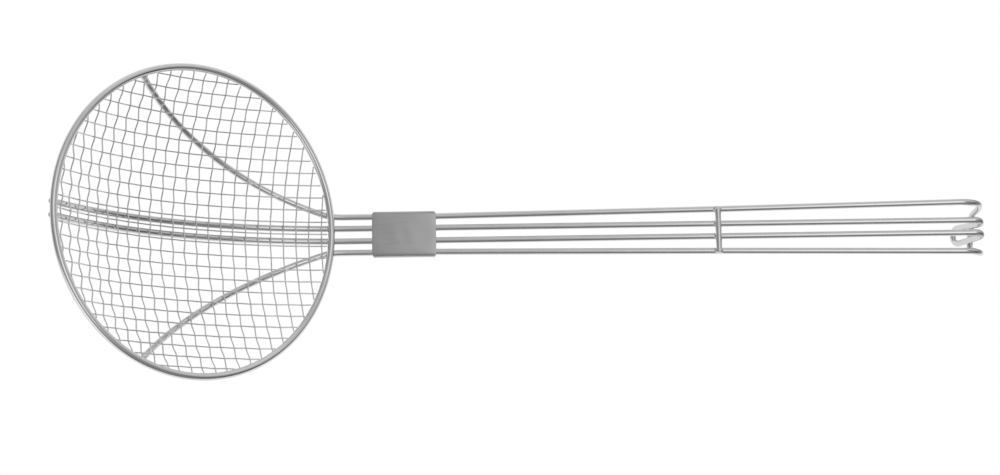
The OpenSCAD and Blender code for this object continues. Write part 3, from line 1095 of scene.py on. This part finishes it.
@dataclass
class GripSleeve(Assembly):
    """The pressed sleeve round the four handle wires, with sizes in millimetres.

    The squareness is below one, which makes the section squarer than an oval. The four corners that are
    seen from above are rounded, less and less over the corner fade. The press flattens what lies farther
    out than the shoulder's foot: by the crown towards both ends, by the end crown close to them, and by
    the dents, which are slow waves along the sleeve, aslant and across it.
    """

    arc_steps: int = 16
    flat_steps: int = 14
    middle_steps: int = 20
    end_stations: tuple[float, ...] = (0.15, 0.35, 0.6, 0.9, 1.2)
    squareness: float = 0.68
    corner_radius: float = 1.9
    corner_fade: float = 6.0
    shoulder_foot: float = 1.7
    shoulder_height: float = 0.8
    crown: float = 0.42
    end_crown: float = 0.08
    end_crown_reach: float = 3.0
    dent: float = 0.05
    dent_waves: tuple[float, float, float] = (0.31, 0.17, 0.21)
    mark_scale: float = 0.2
    edge_softness: float = 0.4
    edge_segments: int = 3
    edge_angle: float = 50.0

    def section(self, inset: float) -> list[tuple[float, float]]:
        """Gives the flat oval of the sleeve as (side, up) points.

        Args:
            inset: How far the oval is narrowed all round.

        Returns:
            Its points in order.
        """
        handle, wire = self.geometry.handle, self.geometry.wires.frame
        height = wire + handle.sleeve_clearance + handle.sleeve_wall - inset
        width = handle.spread_at_sleeve + wire + handle.sleeve_side_clearance
        straight = width + handle.sleeve_wall - inset - height
        points = []
        for side in (1, -1):
            for k in range(self.arc_steps + 1):
                angle = math.pi * (k / self.arc_steps - 0.5)
                if side < 0:
                    angle += math.pi
                out = math.copysign(abs(math.cos(angle)) ** self.squareness, side)
                up = math.copysign(abs(math.sin(angle)) ** self.squareness, math.sin(angle))
                points.append((side * straight + height * out, height * up))
            for k in range(1, self.flat_steps):
                share = 1 - 2 * k / self.flat_steps
                points.append((side * straight * share, side * height))
        return points

    def _tube(self, bm: bmesh.types.BMesh) -> None:
        """Extrudes the sleeve's wall along the handle.

        Args:
            bm: Mesh that takes it, with places along the handle, to the side and up.
        """
        handle = self.geometry.handle
        edges = []
        for inset in (0.0, handle.sleeve_wall):
            verts = [
                bm.verts.new((handle.sleeve_start, side, up)) for side, up in self.section(inset)
            ]
            edges += [bm.edges.new(pair) for pair in zip(verts, verts[1:] + verts[:1])]
        bmesh.ops.bridge_loops(bm, edges=edges)
        wall = list(bm.faces)
        length, last = handle.sleeve_length, self.end_stations[-1]
        step = (length - 2 * last) / self.middle_steps
        places = list(self.end_stations)
        places += [last + step * k for k in range(1, self.middle_steps)]
        places += [length - place for place in reversed(self.end_stations)]
        reached = 0.0
        for place in [*places, length]:
            out = bmesh.ops.extrude_face_region(bm, geom=wall)["geom"]
            if reached > 0:
                inner = [face for face in wall if face.is_valid]
                bmesh.ops.delete(bm, geom=inner, context="FACES")
            verts = [item for item in out if isinstance(item, bmesh.types.BMVert)]
            wall = [item for item in out if isinstance(item, bmesh.types.BMFace)]
            bmesh.ops.translate(bm, vec=(place - reached, 0.0, 0.0), verts=verts)
            reached = place

    def _press(self, bm: bmesh.types.BMesh) -> None:
        """Rounds the corners, flattens the ends and adds slight dents.

        Args:
            bm: Mesh of the straight tube, whose layer wire_space gets the places of the marks.
        """
        handle, radius = self.geometry.handle, self.corner_radius
        half_width = handle.spread_at_sleeve + self.geometry.wires.frame
        half_width += handle.sleeve_side_clearance + handle.sleeve_wall
        start, length = handle.sleeve_start, handle.sleeve_length
        space = bm.verts.layers.float_vector[WIRE_SPACE]
        for vert in bm.verts:
            along, side = vert.co.x - start, vert.co.y
            from_end = max(0.0, min(along, length - along))
            beyond = min(radius, max(0.0, abs(side) - half_width + radius))
            recess = radius - math.sqrt(radius**2 - beyond**2)
            recess *= max(0.0, 1 - from_end / self.corner_fade)
            vert.co.x += recess if along < length / 2 else -recess
            shoulder = max(0.0, (abs(vert.co.z) - self.shoulder_foot) / self.shoulder_height)
            drop = self.crown * (2 * along / length - 1) ** 2
            drop += self.end_crown * max(0.0, 1 - from_end / self.end_crown_reach) ** 2
            dent = self.dent * math.sin(along * self.dent_waves[0] + side * self.dent_waves[1])
            drop += dent * math.cos(side * self.dent_waves[2])
            vert.co.z -= math.copysign(shoulder * drop, vert.co.z)
            vert[space] = (side * self.mark_scale, vert.co.z * self.mark_scale, along * MM)

    def build(self) -> None:
        """Makes the pressed tube, lays it round the handle wires and softens its edges."""
        bm = bmesh.new()
        bm.verts.layers.float_vector.new(WIRE_SPACE)
        self._tube(bm)
        close_up(bm)
        self._press(bm)
        for vert in bm.verts:
            vert.co = self.geometry.rest(self.geometry.on_handle(*vert.co))
        sleeve = self.finish("pressed_sleeve", bm, ShadeKind.SLEEVE, "grip_sleeve")
        bevel = sleeve.modifiers.new("soft_rims", "BEVEL")
        bevel.width = self.edge_softness * MM
        bevel.segments = self.edge_segments
        bevel.limit_method = "ANGLE"
        bevel.angle_limit = math.radians(self.edge_angle)


@dataclass
class CrossWire(Assembly):
    """The short rod that is welded across the handle wires, with sizes in millimetres."""

    sides: int = 28
    steps: int = 40
    above_wires: float = 0.06
    left_end_inset: float = 1.7

    def build(self) -> None:
        """Sweeps the rod."""
        geometry, handle = self.geometry, self.geometry.handle
        wire = geometry.wires.frame
        half = handle.spread_at_cross_wire + wire
        up = 2 * wire + self.above_wires

        def line(side: float) -> Vector:
            """Gives a point of the rod's centre line."""
            return geometry.rest(geometry.on_handle(handle.cross_wire_at, side, up))

        path = arc_points(line, -half, half - self.left_end_inset, self.steps)
        rod = RoundWire(path, wire * MM, self.sides, UPWARDS)
        self.finish("welded_rod", rod.mesh(), ShadeKind.FRAME, "cross_wire")


@dataclass
class WeldBeads(Assembly):
    """The small beads of melted steel where crossing wires are welded, with sizes in millimetres.

    Each bead has a little lumpiness. A wire is welded to the rim where it is nearest to it, unless more
    than the widest gap is left between the two.
    """

    rim_bead: tuple[float, float, float] = (1.7, 1.7, 1.0)
    rod_outer: tuple[float, float, float] = (1.5, 2.3, 1.15)
    rod_inner: tuple[float, float, float] = (1.9, 2.0, 0.9)
    roundness: int = 3
    lump: float = 0.07
    lump_waves: tuple[float, float] = (3.1, 2.7)
    mark_scale: float = 0.5
    search_steps: int = 8
    widest_gap: float = 0.6

    def bead(
        self, bm: bmesh.types.BMesh, place: Vector, axes: Sequence[Vector], radii: Sequence[float]
    ) -> None:
        """Adds one flattened, slightly lumpy bead.

        Args:
            bm: Mesh that takes it.
            place: Its middle, in the bowl's frame.
            axes: Its two wide directions and its flat one.
            radii: Half of its size in each of them.
        """
        shape = Matrix([axis.normalized() * radius for axis, radius in zip(axes, radii)])
        out = bmesh.ops.create_icosphere(bm, subdivisions=self.roundness, radius=1.0)
        space = bm.verts.layers.float_vector[WIRE_SPACE]
        for vert in out["verts"]:
            wave = math.sin(self.lump_waves[0] * vert.co.x + place.x)
            lump = 1 + self.lump * wave * math.cos(self.lump_waves[1] * vert.co.y)
            vert[space] = vert.co * self.mark_scale
            vert.co = self.geometry.rest(place + shape.transposed() @ (vert.co * lump))

    def rim_contacts(self, path: Sequence[Vector]) -> list[tuple[Vector, list[Vector]]]:
        """Finds where a bent wire lies against the rim ring.

        Args:
            path: The wire's centre line in the bowl's frame.

        Returns:
            The touching points, each with the ring's direction, the one across it and the one between.
        """
        radius, wires = self.geometry.bowl.rim_radius, self.geometry.wires
        count = self.search_steps
        finer = [a.lerp(b, k / count) for a, b in zip(path, path[1:]) for k in range(count)]
        finer.append(path[-1])
        rings = [Vector((p.x, p.y, 0.0)).normalized() * radius for p in finer]
        gaps = [(point - ring).length for point, ring in zip(finer, rings)]
        found = []
        for k, gap in enumerate(gaps):
            before = gaps[k - 1] if k else math.inf
            after = gaps[k + 1] if k + 1 < len(gaps) else math.inf
            if gap > before or gap >= after or gap > wires.frame + wires.rim + self.widest_gap:
                continue
            between = rings[k] - finer[k]
            along = UPWARDS.cross(rings[k]).normalized()
            place = finer[k] + between * wires.frame / (wires.frame + wires.rim)
            found.append((place, [along, between.cross(along), between]))
        return found

    def build(self) -> None:
        """Places the beads at the rim and under the welded rod."""
        geometry, handle = self.geometry, self.geometry.handle
        bm = bmesh.new()
        bm.verts.layers.float_vector.new(WIRE_SPACE)
        for path in (geometry.inner_path(BEND_STEPS), geometry.outer_path(BEND_STEPS)):
            for place, axes in self.rim_contacts(path):
                self.bead(bm, place, axes, self.rim_bead)
        across = [Vector((0.0, 1.0, 0.0)), geometry.handle_way, geometry.handle_up]
        for side in (-1, 1):
            for spread, radii in (
                (handle.spread_at_cross_wire, self.rod_outer),
                (geometry.ribs.inner_offset, self.rod_inner),
            ):
                place = geometry.on_handle(handle.cross_wire_at, side * spread, geometry.wires.frame)
                self.bead(bm, place, across, radii)
        close_up(bm)
        self.finish("weld_beads", bm, ShadeKind.FRAME)


@dataclass(frozen=True)
class GlowPanel:
    """A soft round glow of the far surround, which a negative strength makes a shade.

    Its direction and its inner and outer half widths are in degrees.
    """

    azimuth: float
    elevation: float
    inner: float
    outer: float
    strength: float


PANELS = (
    GlowPanel(azimuth=0.0, elevation=90.0, inner=10.0, outer=50.0, strength=0.15),
    GlowPanel(azimuth=-56.0, elevation=60.0, inner=6.0, outer=28.0, strength=0.25),
    GlowPanel(azimuth=18.0, elevation=71.0, inner=6.0, outer=28.0, strength=0.3),
    GlowPanel(azimuth=-80.0, elevation=20.0, inner=15.0, outer=45.0, strength=-0.09),
    GlowPanel(azimuth=-130.0, elevation=15.0, inner=12.0, outer=38.0, strength=0.95),
    GlowPanel(azimuth=92.0, elevation=38.0, inner=20.0, outer=60.0, strength=0.28),
    GlowPanel(azimuth=90.0, elevation=15.0, inner=5.0, outer=30.0, strength=0.25),
    GlowPanel(azimuth=35.0, elevation=10.0, inner=10.0, outer=55.0, strength=0.4),
    GlowPanel(azimuth=50.0, elevation=74.5, inner=2.0, outer=26.0, strength=0.3),
    GlowPanel(azimuth=-12.0, elevation=8.0, inner=8.0, outer=34.0, strength=-0.22),
)


@dataclass(frozen=True)
class Studio:
    """Floor, surround, lamp and camera, with places in metres, turns in degrees and power in watts.

    In reflections the floor fades from white to a dimmer level over a span that lies beyond the hook; this is
    painted shade, which darkens what the hook's tips reflect. The room level is the surround's brightness
    between its glows. The lens and the sensor are given in millimetres, as cameras have them.
    """

    floor_half_size: float = 3.0
    floor_below: float = 0.0006
    painted_shade_span: tuple[float, float] = (0.245, 0.30)
    painted_shade_level: float = 0.3
    room_level: float = 0.31
    lamp_place: tuple[float, float, float] = (0.45, -0.27, 1.5)
    lamp_target: tuple[float, float, float] = (0.1, 0.0, 0.0)
    lamp_width: float = 0.8
    lamp_power: float = 0.85
    lens: float = 72.668
    sensor_width: float = 36.0
    clip_span: tuple[float, float] = (0.01, 20.0)
    camera_place: tuple[float, float, float] = (-0.1226643, -0.1715263, 1.006514)
    camera_turns: tuple[float, float, float] = (9.67834, -5.92349, -1.08041)

    def floor(self) -> None:
        """Makes a floor that is white to the camera and shows painted shade beyond the hook in reflections.
        """
        bm = bmesh.new()
        bmesh.ops.create_grid(bm, x_segments=2, y_segments=2, size=self.floor_half_size)
        bmesh.ops.translate(bm, vec=(0.0, 0.0, -self.floor_below), verts=bm.verts)
        data = bpy.data.meshes.new("studio_floor")
        bm.to_mesh(data)
        bm.free()
        floor = bpy.data.objects.new("studio_floor", data)
        bpy.context.scene.collection.objects.link(floor)
        material = bpy.data.materials.new("floor_white")
        material.use_nodes = True
        material.node_tree.nodes.clear()
        nodes = NodeHelper(material.node_tree)
        output = nodes.add("ShaderNodeOutputMaterial")
        path = nodes.add("ShaderNodeLightPath")
        place = nodes.add("ShaderNodeTexCoord")
        parts = nodes.add("ShaderNodeSeparateXYZ")
        nodes.join(place.outputs["Object"], parts.inputs["Vector"])
        # Painted shade: beyond the hook the floor dims for glossy rays only, so the hook's tips reflect a
        # darker floor.
        fade = nodes.ranged(
            parts.outputs["X"], self.painted_shade_span, (1.0, self.painted_shade_level), "SMOOTHSTEP"
        )
        seen = nodes.add("ShaderNodeEmission", Color=WHITE, Strength=1.0)
        mirrored = nodes.add("ShaderNodeEmission", Color=WHITE)
        nodes.join(fade, mirrored.inputs["Strength"])
        mix = nodes.mixed(
            path.outputs["Is Glossy Ray"], seen.outputs["Emission"], mirrored.outputs["Emission"]
        )
        nodes.join(mix, output.inputs["Surface"])
        floor.data.materials.append(material)

    def world(self) -> None:
        """Makes a soft studio surround: white to the camera, and a few soft glows elsewhere."""
        world = bpy.data.worlds.new("studio_world")
        world.use_nodes = True
        bpy.context.scene.world = world
        world.node_tree.nodes.clear()
        nodes = NodeHelper(world.node_tree)
        output = nodes.add("ShaderNodeOutputWorld")
        path = nodes.add("ShaderNodeLightPath")
        place = nodes.add("ShaderNodeTexCoord")
        white = nodes.add("ShaderNodeBackground", Color=WHITE, Strength=1.0)
        room = nodes.add("ShaderNodeBackground", Strength=1.0)
        level = nodes.add("ShaderNodeValue")
        level.outputs["Value"].default_value = self.room_level
        total = level.outputs["Value"]
        for panel in PANELS:
            total = nodes.added(total, self.glow(nodes, place.outputs["Generated"], panel))
        nodes.join(total, room.inputs["Color"])
        mix = nodes.mixed(
            path.outputs["Is Camera Ray"], room.outputs["Background"], white.outputs["Background"]
        )
        nodes.join(mix, output.inputs["Surface"])

    @staticmethod
    def glow(
        nodes: NodeHelper, direction: bpy.types.NodeSocket, panel: GlowPanel
    ) -> bpy.types.NodeSocket:
        """Adds one soft glow round a direction.

        Args:
            nodes: Helper for the world's tree.
            direction: Socket that gives the direction of a ray.
            panel: Where the glow lies, how wide and how strong it is.

        Returns:
            The socket with the glow's brightness.
        """
        turn, rise = math.radians(panel.azimuth), math.radians(panel.elevation)
        level = math.cos(rise)
        near = nodes.add("ShaderNodeVectorMath", operation="DOT_PRODUCT")
        near.inputs[1].default_value = (
            level * math.cos(turn), level * math.sin(turn), math.sin(rise)
        )
        nodes.join(direction, near.inputs[0])
        angle = nodes.add("ShaderNodeMath", operation="ARCCOSINE")
        nodes.join(near.outputs["Value"], angle.inputs[0])
        widths = (math.radians(panel.outer), math.radians(panel.inner))
        return nodes.ranged(
            angle.outputs["Value"], widths, (0.0, panel.strength), "SMOOTHSTEP"
        )

    def lamp(self) -> None:
        """Hangs a soft round lamp over the skimmer."""
        data = bpy.data.lights.new("overhead_softbox", "AREA")
        data.shape = "DISK"
        data.size = self.lamp_width
        data.energy = self.lamp_power
        lamp = bpy.data.objects.new("overhead_softbox", data)
        place, target = Vector(self.lamp_place), Vector(self.lamp_target)
        lamp.location = place
        lamp.rotation_euler = (target - place).to_track_quat("-Z", "Y").to_euler()
        bpy.context.scene.collection.objects.link(lamp)

    def camera(self) -> None:
        """Sets the camera where the photograph was taken from."""
        data = bpy.data.cameras.new("photo_camera")
        data.sensor_width = self.sensor_width
        data.lens = self.lens
        data.clip_start, data.clip_end = self.clip_span
        camera = bpy.data.objects.new("photo_camera", data)
        turn = Euler([math.radians(angle) for angle in self.camera_turns]).to_matrix().to_4x4()
        camera.matrix_world = Matrix.Translation(self.camera_place) @ turn
        bpy.context.scene.collection.objects.link(camera)
        bpy.context.scene.camera = camera

    def build(self) -> None:
        """Sets the scene for the skimmer."""
        self.floor()
        self.world()
        self.lamp()
        self.camera()


def main() -> None:
    """Builds the skimmer's pieces and the studio."""
    logging.basicConfig(level=logging.INFO, format="%(name)s: %(message)s")
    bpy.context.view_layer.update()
    bpy.context.scene.view_settings.view_transform = "Standard"
    geometry = SkimmerGeometry(WireSizes(), BowlSizes(), RibSizes(), HandleSizes(), HookSizes())
    steel = SteelMaterials()
    for kind in (Rim, FrameWires, GripSleeve, CrossWire, WeldBeads, Weave):
        part = kind(geometry, steel)
        part.build()
        LOG.info("%s is built, number of pieces: %d", kind.__name__, len(part.pieces))
    Studio().build()


if __name__ == "__main__":
    main()
